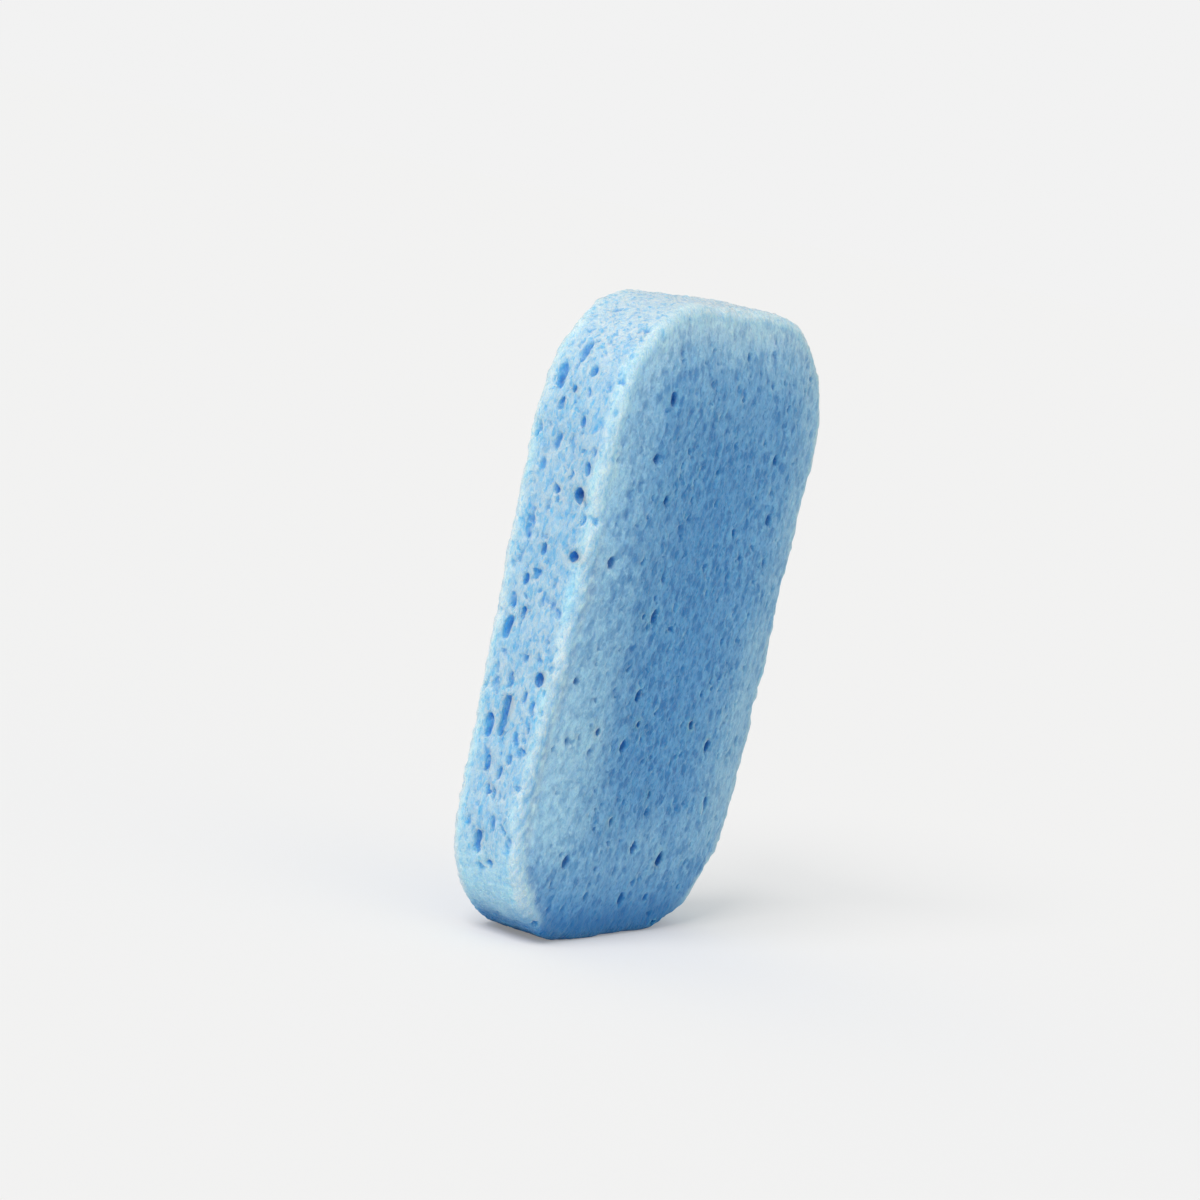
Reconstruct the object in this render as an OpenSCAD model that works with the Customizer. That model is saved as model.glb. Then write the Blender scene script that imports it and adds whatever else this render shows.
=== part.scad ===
// Cleaning sponge: one block of cellulose foam with large round corners, standing on its flat foot.
// X runs across the width, Y through the thickness and Z up the length.
// The origin is the middle of the foot.

/* [Block] */
// Length of the block, from the foot to the top
block_l = 115; // [95:1:140]
// Width of the block, between its two long sides
block_w = 76; // [64:1:96]
// Thickness of the block at its foot
foot_t = 15.5; // [12:0.5:20]
// Thickness of the upper half, where the foam has swollen more
top_t = 18; // [12:0.5:22]
// Radius of the four corners, seen on the large faces
corner_r = 25; // [14:1:30]
// Radius of the soft edges between the large faces and the cut side
edge_r = 2; // [1:0.25:4]
// How far the foam is pressed flat where it stands on its foot
foot_press = 0.35; // [0.1:0.05:1]

/* [Pores] */
// Width of the finest open pores
fine_pore_d = 1.2; // [0.8:0.1:1.6]
// Width of the coarsest pores that are scattered over the block
coarse_pore_d = 2.6; // [1.8:0.1:3.2]
// Spacing of the pores on the two large faces
face_pitch = 10; // [9:0.5:18]
// Spacing of the pores along the cut side
side_pitch = 5.5; // [5:0.5:12]
// Length of a pore in the cut side along the grain, in pore widths
side_stretch = 2; // [1.2:0.1:2.6]
// Length of a pore in the large faces along the grain, in pore widths
face_stretch = 1.2; // [1:0.1:2.6]

/* [Hidden] */

// Facets round a corner, round a soft edge and round a pore
corner_facets = 40;
edge_facets = 16;
pore_facets = 6;

// The pores along the cut side stand in this many rows
side_rows = 2;
// A scattered pore's centre lies this many pore widths under the surface, and a large one's this many
pore_sink = 0.2;
large_sink = 0.35;
// How far a pore strays from the middle of its cell, in cells
stray = 0.3;
// Pores whose draw from 0 to 1 is under this stay round
round_below = 0.3;
// The draw is raised to this power for a pore's width: the higher it is, the fewer are coarse
few_coarse = 4;
// Room that a scattered pore keeps from a large one, in coarse pore widths
room = 1.2;
// The large faces stay closed this far inside their soft edge, in coarse pore widths
bare_rim = 1.2;
// The cut side stays closed up to this height and down this far from the top, in corner radii
bare_foot = 0.45;
bare_top = 0.45;

// Half of the straight foot, the middle height of the lower corners and the straight run of a long side
half_end = block_w / 2 - corner_r;
low_corner = corner_r - foot_press;
long_run = block_l - corner_r - low_corner;
// Way along the rim from the middle of the foot to the start and the end of a long side, and to the top
corner_run = corner_r * PI / 2;
side_start = half_end + corner_run;
side_end = side_start + long_run;
rim_end = side_end + corner_run;

// Large pores on the left cut side: height in block lengths, way across in half thicknesses,
// width in coarse pore widths, length in pore widths
large_side_pores = [
    [0.87, -0.25, 0.6, 1.6],
    [0.84, 0.2, 0.75, 1],
    [0.815, 0.5, 0.65, 1.8],
    [0.795, -0.4, 0.6, 1.6],
    [0.73, -0.75, 0.6, 2],
    [0.69, -0.6, 1.1, 1.3],
    [0.6, -0.8, 1.1, 1],
    [0.6, 0.1, 0.6, 1.8],
    [0.55, 0.4, 0.6, 1.8],
    [0.5, 0.3, 0.6, 2],
    [0.41, -0.7, 1, 1.3],
    [0.345, 0.15, 0.7, 4.4],
    [0.27, 0.45, 0.65, 2.1],
    [0.26, -0.1, 0.5, 2.5],
    [0.185, -0.3, 0.5, 2.5],
    [0.15, 0.25, 0.8, 2.4],
];

// Large pores on the front face: way across in half widths, height in block lengths,
// width in coarse pore widths, length in pore widths
large_front_pores = [
    [-0.77, 0.68, 1, 1],
    [-0.49, 0.7, 0.8, 1.1],
    [-0.48, 0.57, 0.7, 1],
    [-0.46, 0.52, 0.65, 1.2],
    [0.1, 0.41, 0.8, 1],
    [0.25, 0.345, 1, 1.1],
    [0.46, 0.31, 1, 1.3],
    [-0.26, 0.35, 0.75, 1.1],
    [-0.6, 0.34, 0.8, 1],
    [0, 0.235, 0.7, 1.3],
    [-0.3, 0.195, 0.8, 1.2],
    [0.26, 0.125, 1.1, 1.3],
];

// Thickness of the block at a height: it grows from the foot and is full in the upper half
function thickness(z) = foot_t + (top_t - foot_t) * min(max((z + foot_press - edge_r) / long_run, 0), 1);

// How far a height lies into a corner: above zero near the top, below zero near the foot
function into_corner(z) = max(z - (block_l - corner_r), 0) - max(low_corner - z, 0);

// True where a point of a large face is more than a margin inside the outline
function on_face(x, z, margin) =
    norm([max(abs(x) - half_end, 0), into_corner(z)]) < corner_r - margin;

// Angle at which the rim faces, by the way along it: -90 is down, 0 is sideways and 90 is up
function rim_angle(way) =
    min(max((way - side_start) / corner_run, -1), 0) * 90 + min(max((way - side_end) / corner_run, 0), 1) * 90;

// Distance across and height of a point on the right half of the rim
function rim_point(way) =
    let (angle = rim_angle(way), level = low_corner + min(max(way - side_start, 0), long_run))
    [
        min(way, half_end) - max(way - rim_end, 0) + corner_r * cos(angle),
        level + corner_r * sin(angle)
    ];

// Way along the rim at which a long side or a corner has a height
function way_at(z) =
    side_start + min(max(z - low_corner, 0), long_run) + asin(into_corner(z) / corner_r) * PI / 180 * corner_r;

// Width of a scattered pore: most are fine and few are coarse
function pore_width(draw) = fine_pore_d + (coarse_pore_d - fine_pore_d) * pow(draw, few_coarse);

// Length of a scattered pore, in pore widths: it is round or as long as its surface's pores are
function pore_stretch(draw, stretch) = draw < round_below ? 1 : stretch;

// A bubble stretched along the grain, which runs up the block
module pore(width, stretch) {
    reach = width * (stretch - 1) / 2;
    hull()
        for (end = [-reach, reach])
            translate([0, 0, end])
                sphere(d = width, $fn = pore_facets);
}

// A pore in the front face (side -1) or the back face (side 1)
module face_pore(side, x, z, width, stretch, sink) {
    translate([x, side * (thickness(z) / 2 - sink * width), z])
        pore(width, stretch);
}

// A pore in the cut side, on the left (side -1) or the right (side 1)
module rim_pore(side, way, across, width, stretch, sink) {
    angle = rim_angle(way);
    spot = rim_point(way) - sink * width * [cos(angle), sin(angle)];
    translate([side * spot[0], across * (thickness(spot[1]) / 2 - edge_r), spot[1]])
        rotate([0, -side * angle, 0])
            pore(width, stretch);
}

// One soft-edged ring at each face of a corner
module corner_rings(x, z, t) {
    for (side = [-1, 1])
        translate([x, side * (t / 2 - edge_r), z])
            rotate([90, 0, 0])
                rotate_extrude($fn = corner_facets)
                    translate([corner_r - edge_r, 0])
                        circle(r = edge_r, $fn = edge_facets);
}

// The block without its pores, pressed flat at its foot
module block() {
    difference() {
        hull()
            for (x = [-half_end, half_end]) {
                corner_rings(x, low_corner, foot_t);
                corner_rings(x, block_l - corner_r, top_t);
            }
        translate([0, 0, -corner_r])
            cube([2 * block_w, 2 * block_w, 2 * corner_r], center = true);
    }
}

// Pores scattered over both large faces, one to a cell, and the large ones of the front face
module face_pores() {
    columns = floor(block_w / face_pitch);
    rows = floor(block_l / face_pitch);
    cells = columns * rows;
    margin = edge_r + bare_rim * coarse_pore_d;
    for (side = [-1, 1]) {
        shift_x = rands(-stray, stray, cells, 11 + side);
        shift_z = rands(-stray, stray, cells, 21 + side);
        draws = rands(0, 1, cells, 31 + side);
        for (column = [0 : columns - 1], row = [0 : rows - 1]) {
            cell = column * rows + row;
            x = ((column + 0.5 + shift_x[cell]) / columns - 0.5) * block_w;
            z = (row + 0.5 + shift_z[cell]) / rows * block_l;
            gaps = [for (p = large_front_pores) norm([x - p[0] * block_w / 2, z - p[1] * block_l])];
            clear = side > 0 || min(gaps) > room * face_stretch * coarse_pore_d;
            stretch = pore_stretch(draws[cell], face_stretch);
            if (clear && on_face(x, z, margin))
                face_pore(side, x, z, pore_width(draws[cell]), stretch, pore_sink);
        }
    }
    for (p = large_front_pores)
        face_pore(-1, p[0] * block_w / 2, p[1] * block_l, p[2] * coarse_pore_d, p[3], large_sink);
}

// Pores scattered in rows along the cut side, and the large ones of its left side
module side_pores() {
    columns = floor((rim_end - half_end) / side_pitch);
    cells = columns * side_rows;
    for (side = [-1, 1]) {
        shift_way = rands(-stray, stray, cells, 41 + side);
        shift_y = rands(-stray, stray, cells, 51 + side);
        draws = rands(0, 1, cells, 61 + side);
        for (column = [0 : columns - 1], row = [0 : side_rows - 1]) {
            cell = column * side_rows + row;
            way = half_end + (column + 0.5 + shift_way[cell]) * side_pitch;
            across = (row + 0.5 + shift_y[cell]) / side_rows * 2 - 1;
            gaps = [for (p = large_side_pores)
                norm([(across - p[1]) * foot_t / 2, (way - way_at(p[0] * block_l)) / p[3]])];
            clear = side > 0 || min(gaps) > room * coarse_pore_d;
            level = rim_point(way)[1];
            stretch = pore_stretch(draws[cell], side_stretch);
            if (clear && level > bare_foot * corner_r && level < block_l - bare_top * corner_r)
                rim_pore(side, way, across, pore_width(draws[cell]), stretch, pore_sink);
        }
    }
    for (p = large_side_pores)
        rim_pore(-1, way_at(p[0] * block_l), p[1], p[2] * coarse_pore_d, p[3], large_sink);
}

module sponge() {
    color("#a9cfe8")
        difference() {
            block();
            face_pores();
            side_pores();
        }
}

sponge();
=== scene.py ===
"""Cleaning sponge: an open-pored block of cellulose foam on its foot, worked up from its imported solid."""
import math

import bpy
import numpy as np
from mathutils import Matrix
from mathutils import Vector
from mathutils.kdtree import KDTree


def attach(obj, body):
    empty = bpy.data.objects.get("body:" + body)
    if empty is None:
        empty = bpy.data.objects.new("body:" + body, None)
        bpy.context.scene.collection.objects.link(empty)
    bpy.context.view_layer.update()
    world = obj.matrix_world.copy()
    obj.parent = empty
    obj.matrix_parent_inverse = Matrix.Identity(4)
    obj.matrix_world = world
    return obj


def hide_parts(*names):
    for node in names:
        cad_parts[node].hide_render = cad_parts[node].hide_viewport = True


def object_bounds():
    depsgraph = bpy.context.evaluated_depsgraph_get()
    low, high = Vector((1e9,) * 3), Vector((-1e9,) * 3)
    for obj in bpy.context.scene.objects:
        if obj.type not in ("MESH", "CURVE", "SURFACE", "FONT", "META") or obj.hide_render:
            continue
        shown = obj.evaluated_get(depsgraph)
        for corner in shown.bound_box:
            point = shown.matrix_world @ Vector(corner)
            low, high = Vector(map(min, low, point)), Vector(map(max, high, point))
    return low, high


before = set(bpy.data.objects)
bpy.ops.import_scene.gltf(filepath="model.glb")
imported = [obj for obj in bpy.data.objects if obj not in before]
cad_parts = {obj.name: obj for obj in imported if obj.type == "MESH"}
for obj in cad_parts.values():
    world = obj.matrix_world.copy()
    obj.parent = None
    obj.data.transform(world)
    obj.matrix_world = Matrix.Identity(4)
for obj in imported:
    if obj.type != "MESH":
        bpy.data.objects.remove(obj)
solid_low, solid_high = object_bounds()

# Sizes of the block, in metres, as in the part's source
WIDTH = solid_high.x - solid_low.x
LENGTH = solid_high.z - solid_low.z
TOP_T = solid_high.y - solid_low.y
FOOT_T = 0.0155
CORNER_R = 0.025
EDGE_R = 0.002
FOOT_PRESS = 0.00035
MM = 0.001

# The foam is worked on a skin of this fineness, then thinned to this many triangles
SKIN_STEP = 0.35 * MM
TRIANGLES = 192000
# Coarse pores of the solid are rounded by this many passes of smoothing
ROUNDING_PASSES = 4

# Fine bubbles: how many are drawn through the block, the radius of the finest in millimetres, how much
# wider the widest is, and a power that keeps the wide ones few
BUBBLES = 70000
FINEST_BUBBLE = 0.30
BUBBLE_SPREAD = 0.55
FEW_WIDE = 5
# On the large faces a bubble is shorter along the grain and narrower by these shares
FACE_SHORTER = 0.7
FACE_NARROWER = 0.86
# Share of the bubbles that stay closed along borders and creases, and over the top and the low corners
CLOSED_AT_CREASE = 0.75
CLOSED_AT_END = 0.85
# How far the bubbles' outlines are bent
BUBBLE_BEND = 0.14 * MM
# Roughness of the skin in millimetres, and how much more of it there is inside the coarse pores
SKIN_ROUGH = 0.07
PORE_ROUGH = 0.1
# Share of its depth that a fine pore keeps on the large faces
FACE_DEPTH = 0.7
# Deepest pore that the colours tell apart, darkening with depth as painted shade, and how much deeper those
# in the large faces look than they are
DEEPEST = 1.3 * MM
FACE_DEEPER = 1.3
# From the middle of a face to its border the skin sinks by this much, and this share of it swells outwards
SWELL = 2.2 * MM
SWELL_TURN = 0.6

# Colours of the foam: the painted highlight along its creases on the cut side and on the faces, its painted
# pale glow, its large faces, a deeper blue than its cut side as painted shade, its cut side, its pores
# there and on the faces, darker on the faces in keeping with that shade, the painted shade at its foot and
# its palest specks
CREAM_HIGHLIGHT = (0.78, 0.85, 0.84, 1)
PALE_HIGHLIGHT = (0.80, 0.97, 0.90, 1)
PAINTED_GLOW_BLUE = (0.57, 0.88, 0.97, 1)
SHADED_FACE_BLUE = (0.19, 0.49, 0.82, 1)
SIDE_BLUE = (0.53, 0.66, 0.72, 1)
PORE_BLUE = (0.04, 0.40, 0.76, 1)
SPOT_BLUE = (0.02, 0.17, 0.46, 1)
FOOT_SHADE_BLUE = (0.02, 0.18, 0.46, 1)
PALE_SPECK = (0.8, 0.88, 0.92, 1)

# Patterns of the foam, in cells or waves to the metre
BEND_SCALE = 900.0
PIT_SCALE = 1000.0
SMALL_PIT_SCALE = 2100.0
SIDE_SPOT_SCALE = 760.0
FACE_SPOT_SCALE = 560.0
DOT_SCALE = 1350.0
FINE_SCALE = 1500.0
SPECK_SCALE = 3200.0
CLOUD_SCALE = 160.0
STREAK_SCALE = 620.0
# The patterns are drawn out along the grain by measuring it shorter, by these shares
GRAIN = 0.5
FACE_GRAIN = 0.75
STREAK_GRAIN = 0.3
# Distance from a spot's middle, in cells, at which it has faded out, and the width of its fading
SIDE_SPOT_RIM = 0.52
FACE_SPOT_RIM = 0.64
SPOT_FADE = 0.34

# The pale floor and backdrop as seen, and the floor's light on the foam
FLOOR_WHITE = (0.887, 0.887, 0.887, 1)
FLOOR_GLOW = (0.74, 0.80, 0.84, 1)
# Share of the floor that shows even and without shadow, near the foam and away from it
EVEN_NEAR = 0.25
EVEN_AWAY = 0.62

# The key lamp and the light of the surround
KEY_ENERGY = 2.65
KEY_COLOUR = (1.0, 0.92, 0.863)
KEY_SPREAD = math.radians(26)
KEY_TOWARDS = (-0.75, -0.04, 0.65)
SURROUND_COLOUR = (0.88, 0.96, 1.0, 1)
SURROUND_STRENGTH = 0.51

# The camera's heading from +X towards +Y, how far it looks down and how far it rolls to the left
HEADING = math.radians(29.64)
DIP = math.radians(6.45)
ROLL = math.radians(12.12)
# Its distance, how far the block's middle lies off its axis, its lens and its sensor in millimetres
CAMERA_AWAY = 640 * MM
SHIFT_RIGHT = 7.373 * MM
SHIFT_DOWN = 2.879 * MM
LENS = 107.4
SENSOR = 36

# Every draw comes from this one seeded source, in the order in which the script asks
rng = np.random.default_rng(20)


def activate(obj):
    """Makes this the one selected and active object."""
    bpy.ops.object.select_all(action="DESELECT")
    obj.select_set(True)
    bpy.context.view_layer.objects.active = obj


def apply_modifier(obj, kind, **settings):
    """Adds a modifier to the piece and applies it."""
    activate(obj)
    modifier = obj.modifiers.new(kind.lower(), kind)
    for name, value in settings.items():
        setattr(modifier, name, value)
    bpy.ops.object.modifier_apply(modifier=modifier.name)


def points_of(obj):
    """The piece's vertices as rows of x, y and z."""
    flat = np.empty(len(obj.data.vertices) * 3, np.float32)
    obj.data.vertices.foreach_get("co", flat)
    return flat.reshape(-1, 3).astype(float)


def move_points(obj, points):
    """Puts the piece's vertices at these places."""
    obj.data.vertices.foreach_set("co", points.astype(np.float32).ravel())
    obj.data.update()


def smooth_step(value, start, end):
    """From 0 at start to 1 at end, with soft ends."""
    share = np.clip((value - start) / (end - start), 0, 1)
    return share * share * (3 - 2 * share)


def thickness(z):
    """Thickness of the block at a height: it grows from the foot and is full in the upper half."""
    long_run = LENGTH - 2 * CORNER_R + FOOT_PRESS
    return FOOT_T + (TOP_T - FOOT_T) * np.clip((z + FOOT_PRESS - EDGE_R) / long_run, 0, 1)


def round_box(a, b, half_a, half_b, radius):
    """Distance to a rectangle with round corners, below zero inside."""
    qa = np.abs(a) - half_a + radius
    qb = np.abs(b) - half_b + radius
    outside = np.hypot(np.maximum(qa, 0), np.maximum(qb, 0))
    return outside + np.minimum(np.maximum(qa, qb), 0) - radius


def outline_distance(points):
    """Distance to the outline seen on the large faces, below zero inside."""
    half_length = (LENGTH + FOOT_PRESS) / 2
    off_middle = points[:, 2] + FOOT_PRESS - half_length
    return round_box(points[:, 0], off_middle, WIDTH / 2, half_length, CORNER_R)


def skin_distance(points):
    """Distance to the skin of the block as if it had no pores, below zero inside."""
    outline = outline_distance(points) + EDGE_R
    face = np.abs(points[:, 1]) - thickness(points[:, 2]) / 2 + EDGE_R
    outside = np.hypot(np.maximum(outline, 0), np.maximum(face, 0))
    unpressed = outside + np.minimum(np.maximum(outline, face), 0) - EDGE_R
    return np.maximum(unpressed, -points[:, 2])


def skin_normals(points):
    """Directions straight out of the skin."""
    step = 0.05 * MM
    normals = np.empty_like(points)
    for axis in range(3):
        shift = np.zeros(3)
        shift[axis] = step
        normals[:, axis] = skin_distance(points + shift) - skin_distance(points - shift)
    return normals / np.maximum(np.linalg.norm(normals, axis=1, keepdims=True), 1e-12)


def ripple(points, longest, shortest, waves, grain):
    """An uneven field about zero, made of waves between two lengths and stretched along the grain."""
    field = np.zeros(len(points))
    stretched = points / np.array([1, 1, grain])
    for _ in range(waves):
        direction = rng.normal(size=3)
        direction /= np.linalg.norm(direction)
        length = rng.uniform(shortest, longest)
        phase = rng.uniform(0, 2 * math.pi)
        field += np.sin(2 * math.pi * (stretched @ direction) / length + phase)
    return field / math.sqrt(waves / 2)


def copy_of_solid():
    """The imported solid's mesh as a piece of its own, with its loose triangles merged."""
    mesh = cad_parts["sponge"].data.copy()
    mesh.name = "foam_block"
    mesh.materials.clear()
    block = bpy.data.objects.new("foam_block", mesh)
    bpy.context.scene.collection.objects.link(block)
    activate(block)
    bpy.ops.object.mode_set(mode="EDIT")
    bpy.ops.mesh.select_all(action="SELECT")
    bpy.ops.mesh.remove_doubles(threshold=0.01 * MM)
    bpy.ops.object.mode_set(mode="OBJECT")
    return block


def bubbles_near_skin():
    """Bubbles that the skin cuts open: centre, radius across and length in widths."""
    spots = rng.uniform(size=(BUBBLES, 3)) - 0.5
    spots *= [WIDTH + MM, TOP_T + MM, LENGTH + MM]
    spots[:, 2] += LENGTH / 2
    draws = rng.uniform(size=BUBBLES)
    radii = (FINEST_BUBBLE + BUBBLE_SPREAD * draws ** FEW_WIDE) * MM
    depth = -skin_distance(spots)
    near = (depth > -0.5 * radii) & (depth < 0.6 * radii)
    outline = -outline_distance(spots)
    on_side = outline < EDGE_R
    lengths = rng.uniform(1.0, 2.2, size=BUBBLES) * np.where(on_side, 1, FACE_SHORTER)
    crease = np.abs(np.abs(spots[:, 1]) - thickness(spots[:, 2]) / 2)
    at_border = smooth_step(outline, 7 * MM, 1.5 * MM) * ~on_side * CLOSED_AT_CREASE
    at_crease = smooth_step(crease, 2.2 * MM, 0.6 * MM) * on_side * CLOSED_AT_CREASE
    at_top = smooth_step(spots[:, 2], LENGTH - 14 * MM, LENGTH - 4 * MM) * CLOSED_AT_END
    at_foot = smooth_step(spots[:, 2], 17 * MM, 8 * MM) * on_side * CLOSED_AT_END
    closed = np.maximum.reduce([at_border, at_crease, at_top, at_foot])
    kept = near & (rng.uniform(size=BUBBLES) > closed)
    radii = np.where(on_side, radii, radii * FACE_NARROWER)
    return spots[kept], radii[kept], lengths[kept]


def open_pores(points, normals):
    """How far each point of the skin falls back into the bubbles that it cuts open."""
    bend = np.stack([ripple(points, 2.2 * MM, 0.9 * MM, 14, 1.6) for _ in range(3)], axis=1)
    bent = points + bend * BUBBLE_BEND
    tree = KDTree(len(bent))
    for index, point in enumerate(bent):
        tree.insert(point, index)
    tree.balance()
    fall = np.zeros(len(points))
    soft_rim = np.where(outline_distance(points) > -EDGE_R, 0.2, 0.55)
    centres, radii, lengths = bubbles_near_skin()
    for centre, radius, length in zip(centres, radii, lengths):
        found = tree.find_range(centre, radius * max(length, 1))
        if not found:
            continue
        index = np.array([hit[1] for hit in found])
        scale = 1 / (radius * np.array([1, 1, length]))
        start = (bent[index] - centre) * scale
        inward = -normals[index] * scale
        a = (inward * inward).sum(1)
        b = (start * inward).sum(1)
        c = (start * start).sum(1) - 1
        far_wall = (-b + np.sqrt(np.maximum(b * b - a * c, 0))) / a
        rim = smooth_step(-c, 0, soft_rim[index])
        fall[index] = np.maximum(fall[index], rim * far_wall)
    return fall


def bulge(points, centre, reach, move):
    """A soft push of the foam about one place, in metres."""
    away = (points - np.array(centre)) / np.array(reach)
    share = np.exp(-(away * away).sum(1))
    return share[:, None] * np.array(move)


def swell(points):
    """The slight unevenness that the swollen block has in place of true flats and arcs."""
    moved = points.copy()
    half = TOP_T / 2
    left = -WIDTH / 2
    sink = (smooth_step(-outline_distance(points), 17 * MM, -1 * MM) - SWELL_TURN) * SWELL
    moved[:, 1] -= np.sign(points[:, 1]) * sink * np.clip(np.abs(points[:, 1]) / half, 0, 1)
    at_crease = smooth_step(np.abs(outline_distance(points)), 5 * MM, 0)
    wave = np.stack([ripple(points, 16 * MM, 5 * MM, 12, 1) for _ in range(3)], axis=1)
    moved += wave * at_crease[:, None] * np.array([0.1, 0.2, 0.05]) * MM

    # The front crease wanders out and in, and the low left corner, the high one and the top sag or spread
    moved += bulge(points, (left, -half, 0.070), (0.020, 0.006, 0.013), (0, -0.9 * MM, 0))
    moved += bulge(points, (left, -half, 0.030), (0.020, 0.006, 0.012), (0, 0.9 * MM, 0))
    moved += bulge(points, (left, 0, 0.010), (0.010, 0.02, 0.010), (-0.7 * MM, 0, 0))
    moved += bulge(points, (-0.032, 0, 0.104), (0.010, 0.02, 0.010), (-0.4 * MM, 0, 0.3 * MM))
    moved += bulge(points, (-0.010, 0, LENGTH), (0.016, 0.02, 0.010), (0, 0, -0.5 * MM))
    moved[:, 2] = np.maximum(moved[:, 2], 0)
    return moved


def set_attribute(obj, name, values):
    """Keeps one number at each vertex for the material to read."""
    attribute = obj.data.attributes.new(name, "FLOAT", "POINT")
    attribute.data.foreach_set("value", values.astype(np.float32))


def sink_pores(block):
    """Pushes the fine pores into the skin and roughens it, less so where it stands on the floor."""
    points = points_of(block)
    normals = skin_normals(points)
    depth = -skin_distance(points)
    fall = open_pores(points, normals)
    fall = np.maximum(fall - np.maximum(depth, 0), 0)
    in_pore = smooth_step(depth, 0.2 * MM, 0.7 * MM)
    rough = ripple(points, 2.4 * MM, 0.9 * MM, 40, 1.5) * (SKIN_ROUGH + PORE_ROUGH * in_pore) * MM
    off_floor = smooth_step(points[:, 2], 0.1 * MM, 1.5 * MM)
    shallow = np.where(outline_distance(points) > -EDGE_R, 1, FACE_DEPTH)
    points -= normals * ((fall * shallow + rough) * np.maximum(off_floor, 0.25))[:, None]
    points[:, 2] = np.maximum(points[:, 2], 0)
    move_points(block, points)


def painted_glow_share(points, outline, crease, on_side, ragged):
    """Where a pale glow is painted in place of light: a band by the faces' borders, where light shines
    through and catches the rounded edge, narrower high up and weaker to the right, a paler strip at the low
    corners of the cut side, and pale fringes beside the creases.
    """
    height = points[:, 2]
    off_foot = smooth_step(height, 3 * MM, 24 * MM)
    reach = 28 * MM - 13 * MM * smooth_step(height, 35 * MM, 80 * MM)
    band = smooth_step(outline + ragged * 1.2 * MM, reach, 3 * MM) * 0.75
    band *= 1 - 0.25 * smooth_step(height, 35 * MM, 60 * MM)
    band *= 1 - 0.3 * smooth_step(points[:, 0], 5 * MM, 25 * MM)
    band = (band + smooth_step(outline, 38 * MM, 8 * MM) * 0.25) * (1 - on_side) * off_foot
    low_side = smooth_step(height, 22 * MM, 8 * MM) * on_side * smooth_step(height, 0, 6 * MM) * 0.8
    fringe = smooth_step(crease + ragged * 0.4 * MM, 3.0 * MM, 1.0 * MM) * on_side * 0.6
    return np.clip(np.maximum(band, np.maximum(low_side, fringe)), 0, 1)


def painted_highlight_share(points, outline, crease, ragged):
    """Where a highlight is painted: along the crease between a face and the side, where the rounded edge
    catches the light, and over the crown, lit from above.
    """
    height = points[:, 2]
    off_middle = outline - crease + ragged * 0.35 * MM
    off_middle = np.where(off_middle > 0, 0.6, 1) * np.abs(off_middle)
    painted_highlight = smooth_step(off_middle, 2.5 * MM, 0.9 * MM) * smooth_step(height, 2 * MM, 9 * MM)
    painted_highlight = painted_highlight * (1 - 0.5 * smooth_step(height, 60 * MM, 100 * MM))
    near_top = smooth_step(height, LENGTH - 24 * MM, LENGTH - 3 * MM)
    crown = near_top * smooth_step(outline, 8 * MM, 1.5 * MM) * 0.6
    return np.maximum(painted_highlight, crown)


def mark_foam(block, points):
    """Marks where the foam is deep, where its painted glow and highlight lie, where it is cut, and the
    painted shade at its foot, for the material to read.
    """
    depth = -skin_distance(points)
    outline = -outline_distance(points)
    crease = thickness(points[:, 2]) / 2 - np.abs(points[:, 1])
    on_side = smooth_step(outline, 3.0 * MM, 1.2 * MM)
    ragged = ripple(points, 14 * MM, 1.5 * MM, 50, 1.5)
    # Painted shade at the foot: darker towards the floor, with a ragged edge
    foot_shade = smooth_step(points[:, 2] + ragged * 0.5 * MM, 10 * MM, 1 * MM) ** 1.5
    # Pores in the large faces are shallower, so each counts as deeper than it is and takes darker painted
    # shade
    deepest = DEEPEST / (FACE_DEEPER + (1 - FACE_DEEPER) * on_side)
    set_attribute(block, "pore_depth", np.clip(depth / deepest, 0, 1))
    set_attribute(block, "painted_glow", painted_glow_share(points, outline, crease, on_side, ragged))
    set_attribute(block, "painted_highlight", painted_highlight_share(points, outline, crease, ragged))
    set_attribute(block, "cut_side", on_side)
    set_attribute(block, "foot_shade", foot_shade)


def make_foam_block():
    """The foam block with its coarse pores from the solid and the finer ones cut here."""
    block = copy_of_solid()
    apply_modifier(block, "REMESH", mode="VOXEL", voxel_size=SKIN_STEP)
    apply_modifier(block, "SMOOTH", factor=0.5, iterations=ROUNDING_PASSES)
    sink_pores(block)
    triangles = sum(len(face.vertices) - 2 for face in block.data.polygons)
    apply_modifier(block, "DECIMATE", decimate_type="COLLAPSE", ratio=TRIANGLES / triangles)
    points = points_of(block)
    mark_foam(block, points)
    move_points(block, swell(points))
    activate(block)
    bpy.ops.object.shade_smooth()
    return block


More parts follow.
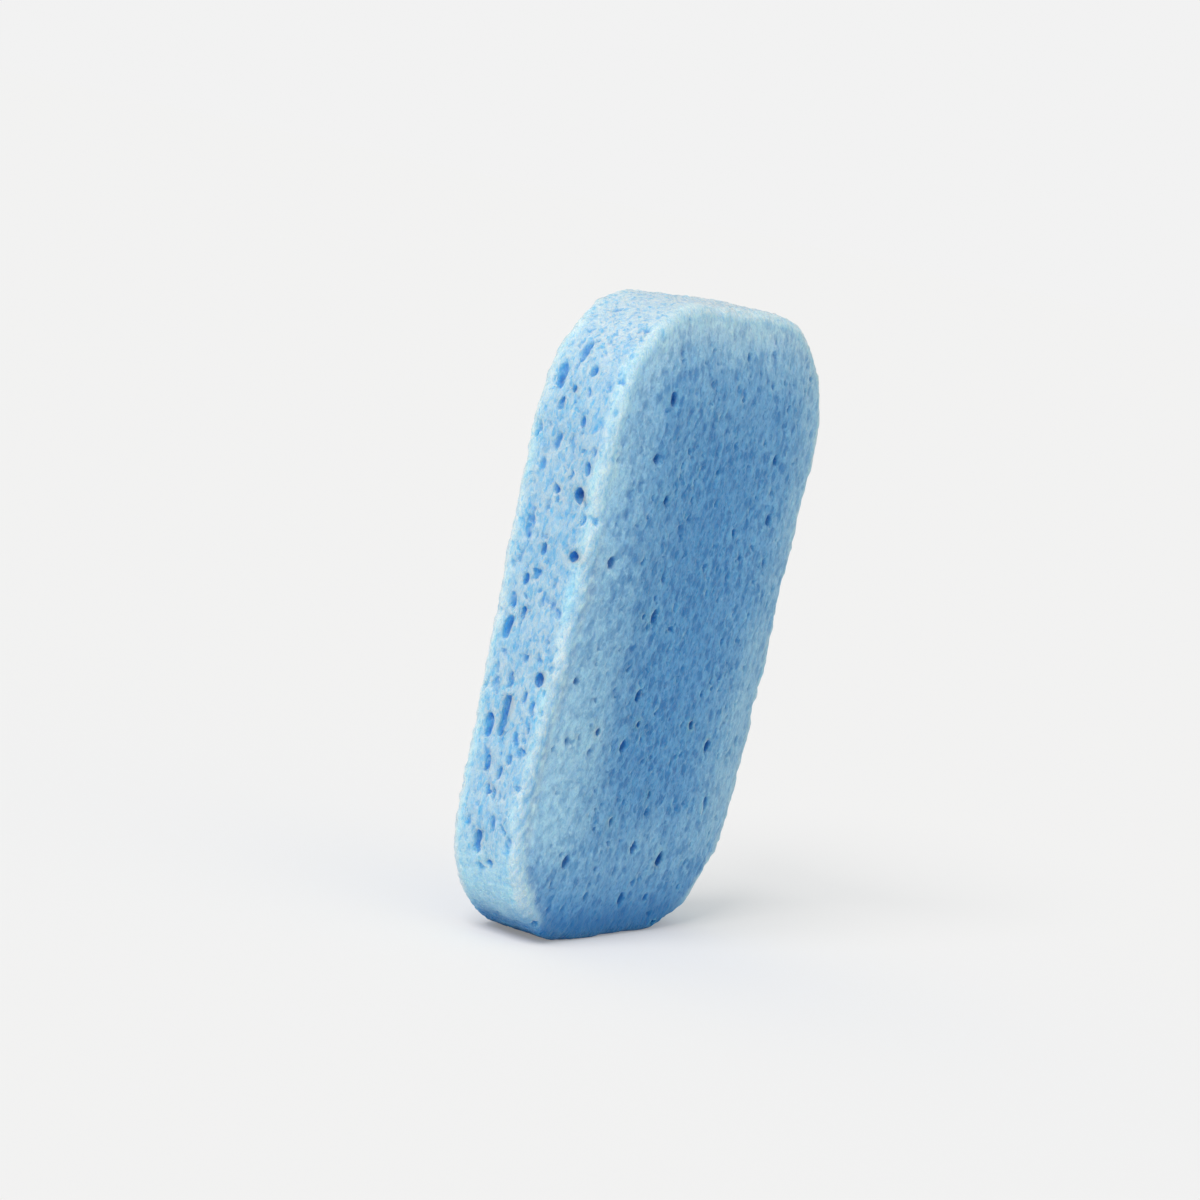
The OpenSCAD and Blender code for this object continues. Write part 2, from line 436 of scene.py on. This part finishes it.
class Nodes:
    """Short ways to add and join the nodes of one material."""

    def __init__(self, material):
        self.tree = material.node_tree
        self.tree.nodes.clear()

    def add(self, kind, inputs=None, **settings):
        """A new node, with its inputs linked or set."""
        node = self.tree.nodes.new(kind)
        for name, value in settings.items():
            setattr(node, name, value)
        for name, value in (inputs or {}).items():
            socket = node.inputs[name]
            if isinstance(value, bpy.types.NodeSocket):
                self.tree.links.new(value, socket)
            else:
                socket.default_value = value
        return node

    def math(self, operation, a, b=0.0):
        """One operation on two numbers."""
        node = self.add("ShaderNodeMath", {0: a, 1: b}, operation=operation, use_clamp=False)
        return node.outputs[0]

    def product(self, first, *others):
        """Several numbers multiplied."""
        for other in others:
            first = self.math("MULTIPLY", first, other)
        return first

    def mix(self, share, a, b):
        """From colour a to colour b by a share."""
        node = self.add("ShaderNodeMix", {0: share, 6: a, 7: b}, data_type="RGBA")
        return node.outputs[2]

    def spread(self, value, low, high, to_low=0.0, to_high=1.0):
        """A value's range spread over another range and held inside it."""
        inputs = {"Value": value, "From Min": low, "From Max": high, "To Min": to_low, "To Max": to_high}
        return self.add("ShaderNodeMapRange", inputs).outputs[0]

    def between(self, share, at_zero, at_one):
        """From one number to another as a share goes from 0 to 1."""
        return self.spread(share, 0.0, 1.0, at_zero, at_one)

    def attribute(self, name):
        """A number that the piece keeps at its vertices."""
        return self.add("ShaderNodeAttribute", attribute_name=name).outputs["Fac"]

    def along_grain(self, place, share):
        """A place measured shorter along the grain, so that a pattern on it is drawn out."""
        return self.add("ShaderNodeMapping", {"Vector": place, "Scale": (1, 1, share)}).outputs[0]

    def noise(self, place, scale, detail, roughness, output="Fac"):
        """Soft noise at a scale in waves to the metre."""
        inputs = {"Vector": place, "Scale": scale, "Detail": detail, "Roughness": roughness}
        return self.add("ShaderNodeTexNoise", inputs).outputs[output]

    def cells(self, place, scale):
        """A pattern of uneven cells at a scale in cells to the metre."""
        return self.add("ShaderNodeTexVoronoi", {"Vector": place, "Scale": scale, "Randomness": 1.0})


def chosen_cells(nodes, place, scale, start, end, middle, rim):
    """Soft round marks in those cells whose draw lies above start, full at end, from middle to rim."""
    cells = nodes.cells(place, scale)
    draw = nodes.add("ShaderNodeSeparateColor", {0: cells.outputs["Color"]}).outputs[0]
    mark = nodes.spread(cells.outputs["Distance"], middle, rim, 1.0, 0.0)
    return nodes.product(mark, nodes.spread(draw, start, end))


def pore_patterns(nodes, place, grain_share, spot_scale, spot_rim):
    """Fine pits (0 in a pit, 1 on its web), soft spots and small dots (1 in the mark)."""
    grain = nodes.along_grain(place, grain_share)
    bend = nodes.noise(grain, BEND_SCALE, 2.0, 0.5, "Color")
    bend = nodes.add("ShaderNodeVectorMath", {0: bend, 1: (0.5, 0.5, 0.5)}, operation="SUBTRACT").outputs[0]
    bend = nodes.add("ShaderNodeVectorMath", {0: bend, "Scale": 1.5 * MM}, operation="SCALE").outputs[0]
    bent = nodes.add("ShaderNodeVectorMath", {0: grain, 1: bend}, operation="ADD").outputs[0]
    pits = nodes.spread(nodes.cells(bent, PIT_SCALE).outputs["Distance"], 0.15, 0.6)
    small_pits = nodes.spread(nodes.cells(bent, SMALL_PIT_SCALE).outputs["Distance"], 0.15, 0.65)
    pits = nodes.product(pits, nodes.between(small_pits, 0.6, 1.0))
    spots = chosen_cells(nodes, bent, spot_scale, 0.4, 0.5, spot_rim - SPOT_FADE, spot_rim)
    dots = chosen_cells(nodes, bent, DOT_SCALE, 0.45, 0.5, 0.25, 0.5)
    return pits, spots, dots


def bare_colour(nodes, place, side, painted_glow, hollow):
    """The foam's colour before its pores: clouded blue, deeper on the large faces as painted shade, the
    painted pale glow and painted highlight, and the faces' streaks.
    """
    grain = nodes.along_grain(place, GRAIN)
    cloud = nodes.spread(nodes.noise(grain, CLOUD_SCALE, 2.0, 0.5), 0.3, 0.7)
    # The large faces take a deeper blue than the cut side of the same foam: painted shade
    flat = nodes.mix(side, SHADED_FACE_BLUE, SIDE_BLUE)
    flat = nodes.mix(nodes.product(cloud, nodes.between(side, 0.3, 0.16)), flat, hollow)
    # Painted glow: paler by the faces' borders and low on the cut side, in place of light
    skin = nodes.mix(painted_glow, flat, PAINTED_GLOW_BLUE)
    # Painted highlight along the creases and over the crown
    highlight_colour = nodes.mix(nodes.spread(side, 0.7, 1.0), PALE_HIGHLIGHT, CREAM_HIGHLIGHT)
    skin = nodes.mix(nodes.product(nodes.attribute("painted_highlight"), 0.85), skin, highlight_colour)
    streak = nodes.noise(nodes.along_grain(place, STREAK_GRAIN), STREAK_SCALE, 3.0, 0.6)
    streak = nodes.spread(streak, 0.35, 0.65, 0.3, 0.0)
    streak = nodes.product(streak, nodes.between(side, 1.0, 0.0), nodes.between(painted_glow, 1.0, 0.3))
    return nodes.mix(streak, skin, hollow)


def foam_material():
    """Matt, slightly translucent foam: pale webs, a painted glow and highlight by the edges, and deep blue
    in the pores, darkest in the deepest as painted shade.
    """
    material = bpy.data.materials.new("open_cell_foam")
    material.use_nodes = True
    nodes = Nodes(material)
    place = nodes.add("ShaderNodeTexCoord").outputs["Object"]
    grain = nodes.along_grain(place, GRAIN)
    side = nodes.attribute("cut_side")
    painted_glow = nodes.attribute("painted_glow")
    on_faces = pore_patterns(nodes, place, FACE_GRAIN, FACE_SPOT_SCALE, FACE_SPOT_RIM)
    on_side = pore_patterns(nodes, place, GRAIN, SIDE_SPOT_SCALE, SIDE_SPOT_RIM)
    pits, spots, dots = [nodes.between(side, *pair) for pair in zip(on_faces, on_side)]
    fine = nodes.noise(grain, FINE_SCALE, 3.0, 0.6)
    speck = nodes.spread(nodes.noise(grain, SPECK_SCALE, 2.0, 0.7), 0.35, 0.65)

    # Every open part takes the pores' blue, darker on the large faces in keeping with their painted shade:
    # the marks are weaker on the painted glow, and differ by surface
    hollow = nodes.mix(side, SPOT_BLUE, PORE_BLUE)
    colour = bare_colour(nodes, place, side, painted_glow, hollow)
    spots = nodes.product(spots, nodes.between(painted_glow, 1.0, 0.18), nodes.between(side, 0.8, 0.5))
    dots = nodes.product(dots, nodes.between(painted_glow, 0.5, 0.1))
    open_pits = nodes.math("SUBTRACT", 1.0, pits)
    open_pits = nodes.product(open_pits, nodes.between(painted_glow, 0.5, 0.1), nodes.between(side, 1.2, 0.8))
    # Painted shade in the hollows: the deeper a pore, the darker
    coarse = nodes.spread(nodes.attribute("pore_depth"), 0.08, 0.85)
    coarse = nodes.product(coarse, nodes.between(side, 0.75, 0.65))
    for mark in (spots, dots, open_pits, coarse):
        colour = nodes.mix(mark, colour, hollow)
    colour = nodes.mix(nodes.between(speck, 0.16, 0.0), colour, PORE_BLUE)
    colour = nodes.mix(nodes.spread(speck, 0.6, 1.0, 0.0, 0.1), colour, PALE_SPECK)
    off_curl = nodes.math("ABSOLUTE", nodes.math("SUBTRACT", fine, 0.5))
    curls = nodes.product(nodes.spread(off_curl, 0.0, 0.05, 1.0, 0.0), nodes.between(side, 0.2, 0.3))
    colour = nodes.mix(curls, colour, hollow)
    # Painted shade: darker towards the foot
    colour = nodes.mix(nodes.attribute("foot_shade"), colour, FOOT_SHADE_BLUE)

    # The finest relief: webs and grit stand out and the dots sink in, far less on the large faces
    height = nodes.math("ADD", pits, nodes.product(fine, 0.5))
    height = nodes.math("ADD", height, nodes.product(speck, 0.25))
    height = nodes.math("SUBTRACT", height, nodes.product(dots, 1.5))
    height = nodes.product(height, nodes.between(side, 0.25, 1.0))
    bump = nodes.add("ShaderNodeBump", {"Height": height, "Strength": 1.0, "Distance": 0.3 * MM})
    foam = nodes.add(
        "ShaderNodeBsdfPrincipled",
        {
            "Base Color": colour,
            "Roughness": 0.85,
            "Specular IOR Level": 0.25,
            "Subsurface Weight": 1.0,
            "Subsurface Radius": (0.6, 0.85, 1.0),
            "Subsurface Scale": 8.0 * MM,
            "Sheen Weight": 0.15,
            "Sheen Roughness": 0.5,
            "Normal": bump.outputs[0],
        },
    )
    nodes.add("ShaderNodeOutputMaterial", {"Surface": foam.outputs[0]})
    return material


def seen_directly(nodes):
    """One for what the camera sees, also in a reflection, and zero for light that reaches the foam."""
    path = nodes.add("ShaderNodeLightPath")
    seen = nodes.math("MAXIMUM", path.outputs["Is Camera Ray"], path.outputs["Is Glossy Ray"])
    return nodes.math("MAXIMUM", seen, path.outputs["Is Transmission Ray"])


def floor_material():
    """Plain pale floor that keeps the shadow, and throws a plain pale light on the foam."""
    material = bpy.data.materials.new("pale_floor")
    material.use_nodes = True
    nodes = Nodes(material)
    seen = seen_directly(nodes)
    plain = nodes.add("ShaderNodeBsdfDiffuse", {"Color": nodes.mix(seen, FLOOR_GLOW, FLOOR_WHITE)})
    even = nodes.add("ShaderNodeEmission", {"Color": FLOOR_WHITE, "Strength": 1.0})
    place = nodes.add("ShaderNodeTexCoord").outputs["Object"]
    away = nodes.add("ShaderNodeVectorMath", {0: place}, operation="LENGTH").outputs["Value"]
    share = nodes.product(seen, nodes.spread(away, 20 * MM, 90 * MM, EVEN_NEAR, EVEN_AWAY))
    both = nodes.add("ShaderNodeMixShader", {0: share, 1: plain.outputs[0], 2: even.outputs[0]})
    nodes.add("ShaderNodeOutputMaterial", {"Surface": both.outputs[0]})
    return material


def make_floor():
    """The plane that the block stands on."""
    bpy.ops.object.select_all(action="DESELECT")
    bpy.ops.mesh.primitive_plane_add(size=60, location=(0, 0, 0))
    floor = bpy.context.object
    floor.name = "floor"
    floor.data.materials.append(floor_material())
    return floor


def make_lights():
    """A wide, warm key from the left and above, and an even, cool and pale surround."""
    sun = bpy.data.lights.new("key", "SUN")
    sun.energy = KEY_ENERGY
    sun.color = KEY_COLOUR
    sun.angle = KEY_SPREAD
    key = bpy.data.objects.new("key", sun)
    bpy.context.scene.collection.objects.link(key)
    key.rotation_euler = Vector(KEY_TOWARDS).to_track_quat("Z", "Y").to_euler()
    world = bpy.data.worlds.new("studio")
    bpy.context.scene.world = world
    world.use_nodes = True
    nodes = Nodes(world)
    surround = nodes.add("ShaderNodeBackground", {"Color": SURROUND_COLOUR, "Strength": SURROUND_STRENGTH})
    shown = nodes.add("ShaderNodeBackground", {"Color": FLOOR_WHITE, "Strength": 1.0})
    shaders = {0: seen_directly(nodes), 1: surround.outputs[0], 2: shown.outputs[0]}
    both = nodes.add("ShaderNodeMixShader", shaders)
    nodes.add("ShaderNodeOutputWorld", {"Surface": both.outputs[0]})


def make_camera():
    """Looks at the cut side and, at a slant, at the front face, as the photograph does."""
    forward = Vector((
        math.cos(DIP) * math.cos(HEADING),
        math.cos(DIP) * math.sin(HEADING),
        -math.sin(DIP),
    ))
    level_right = Vector((math.sin(HEADING), -math.cos(HEADING), 0))
    level_up = level_right.cross(forward)
    right = math.cos(ROLL) * level_right + math.sin(ROLL) * level_up
    up = math.cos(ROLL) * level_up - math.sin(ROLL) * level_right
    middle = Vector((0, 0, LENGTH / 2))
    place = middle - SHIFT_RIGHT * right + SHIFT_DOWN * up - CAMERA_AWAY * forward
    camera = bpy.data.objects.new("camera", bpy.data.cameras.new("camera"))
    bpy.context.scene.collection.objects.link(camera)
    turn = Matrix((right, up, -forward)).transposed().to_4x4()
    camera.matrix_world = Matrix.Translation(place) @ turn
    camera.data.lens = LENS
    camera.data.sensor_width = SENSOR
    bpy.context.scene.camera = camera


make_camera()
make_lights()
make_floor()
foam_block = make_foam_block()
foam_block.data.materials.append(foam_material())
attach(foam_block, "root")
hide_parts("sponge")

bpy.context.scene.view_settings.view_transform = "Standard"
